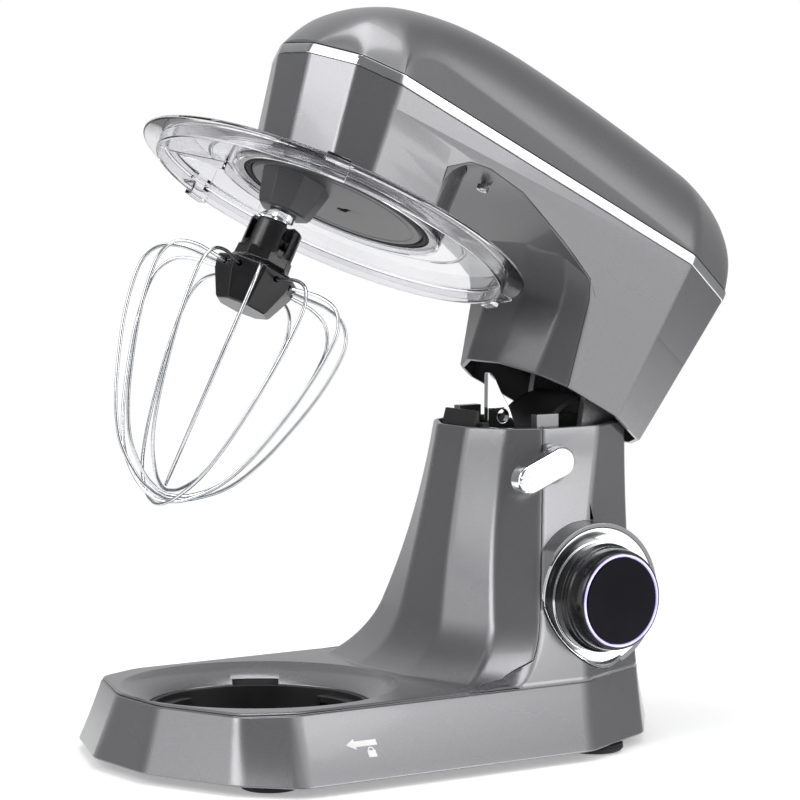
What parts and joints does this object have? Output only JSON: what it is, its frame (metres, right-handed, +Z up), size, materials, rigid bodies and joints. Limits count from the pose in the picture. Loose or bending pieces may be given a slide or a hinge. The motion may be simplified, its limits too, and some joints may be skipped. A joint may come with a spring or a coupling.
{
  "type": "stand mixer",
  "caption": "Tilt-head stand mixer with a faceted grey casing, head raised, planetary wire whisk, clear splash guard, side release lever and speed knob.",
  "frame": {"origin": "centre of the bounding box on the floor under the feet, head raised", "axes": "+Z up, -Y towards the front where the bowl stands, +X towards the side with the lever and the knob"},
  "size_m": [0.236, 0.4252, 0.4282],
  "materials": {
    "casing": "gloss metallic grey",
    "black_plastic": "gloss black",
    "display_glass": "gloss black",
    "dark_steel": "satin",
    "steel": "polished",
    "chrome": "mirror",
    "light_ring": "translucent",
    "nylon": "matt",
    "circuit_board": "matt",
    "rubber": "matt",
    "copper_winding": "satin",
    "clear_plastic": "clear gloss"
  },
  "bodies": {
    "stand": {"base_housing": "casing", "deck_cover": "casing", "bowl_lock_ring": "black_plastic", "base_plate": "black_plastic", "column_collar": "black_plastic", "hinge_bracket": "dark_steel", "hinge_pin": "steel", "tilt_spring": "steel", "lever_spring": "steel", "knob_bezel": "chrome", "knob_light_ring": "light_ring", "knob_display": "display_glass", "speed_encoder": "nylon", "control_board": "circuit_board", "cord_gland": "rubber", "foot_front_left": "rubber", "foot_front_right": "rubber", "foot_rear_left": "rubber", "foot_rear_right": "rubber", "base_screw_front_left": "dark_steel", "base_screw_front_right": "dark_steel", "base_screw_rear_left": "dark_steel", "base_screw_rear_right": "dark_steel"},
    "head": {"head_lower_housing": "casing", "head_top_cover": "casing", "trim_band": "chrome", "neck_front_cover": "casing", "cover_screw_left": "steel", "cover_screw_right": "steel", "hinge_shield": "black_plastic", "motor_frame": "dark_steel", "catch_bar": "steel", "carrier_bearing_lower": "steel", "carrier_bearing_upper": "steel", "motor_bearing": "steel", "motor_stator": "copper_winding", "drive_belt": "rubber", "ring_gear": "nylon", "seal_ring": "rubber"},
    "motor_rotor": {"motor_shaft": "steel", "rotor_core": "copper_winding", "cooling_fan": "nylon", "motor_pulley": "dark_steel"},
    "carrier": {"planet_carrier": "casing", "large_pulley": "nylon"},
    "tool": {"tool_shaft": "chrome", "planet_gear": "dark_steel", "tool_spring": "steel"},
    "whisk": {"whisk_hub": "black_plastic", "whisk_wire_1": "steel", "whisk_wire_2": "steel", "whisk_wire_3": "steel", "whisk_wire_4": "steel", "whisk_wire_5": "steel", "whisk_wire_6": "steel"},
    "guard": {"splash_guard": "clear_plastic"},
    "knob": {"speed_knob": "black_plastic"},
    "lever": {"release_lever": "chrome", "lever_shaft": "steel"},
    "hook": {"latch_hook": "chrome"}
  },
  "joints": [
    {"name": "head_tilt", "type": "hinge", "parent": "stand", "child": "head", "pos_m": [0, 0.09937, 0.16], "axis": [-1, 0, 0], "range_deg": [-27.5, 0]},
    {"name": "carrier_spin", "type": "hinge", "parent": "head", "child": "carrier", "pos_m": [0, -0.0656, 0.31521], "axis": [0, 0.4617, 0.887], "continuous": true},
    {"name": "tool_spin", "type": "hinge", "parent": "carrier", "child": "tool", "pos_m": [0, -0.10168, 0.31088], "axis": [0, 0.4617, 0.887], "continuous": true},
    {"name": "motor_spin", "type": "hinge", "parent": "head", "child": "motor_rotor", "pos_m": [0, 0.1118, 0.22286], "axis": [0, 0.4617, 0.887], "continuous": true},
    {"name": "whisk_pull", "type": "slide", "parent": "tool", "child": "whisk", "axis": [0, -0.4617, -0.887], "range_m": [0, 0.03]},
    {"name": "guard_drop", "type": "slide", "parent": "head", "child": "guard", "axis": [0, -0.4617, -0.887], "range_m": [0, 0.012]},
    {"name": "speed_turn", "type": "hinge", "parent": "stand", "child": "knob", "pos_m": [0.08, 0.07237, 0.0855], "axis": [1, 0, 0], "range_deg": [0, 240]},
    {"name": "lever_turn", "type": "hinge", "parent": "stand", "child": "lever", "pos_m": [0.055, 0.04537, 0.1615], "axis": [1, 0, 0], "range_deg": [0, 30], "stiffness_Nm_per_rad": 0.4},
    {"name": "hook_swing", "type": "hinge", "parent": "stand", "child": "hook", "pos_m": [0.01, 0.04537, 0.1615], "axis": [1, 0, 0], "range_deg": [0, 12]}
  ],
  "couplings": [
    {"joint": "tool_spin", "follows": "carrier_spin", "ratio": -3.5},
    {"joint": "motor_spin", "follows": "carrier_spin", "ratio": 5},
    {"joint": "hook_swing", "follows": "lever_turn", "ratio": 0.4}
  ]
}
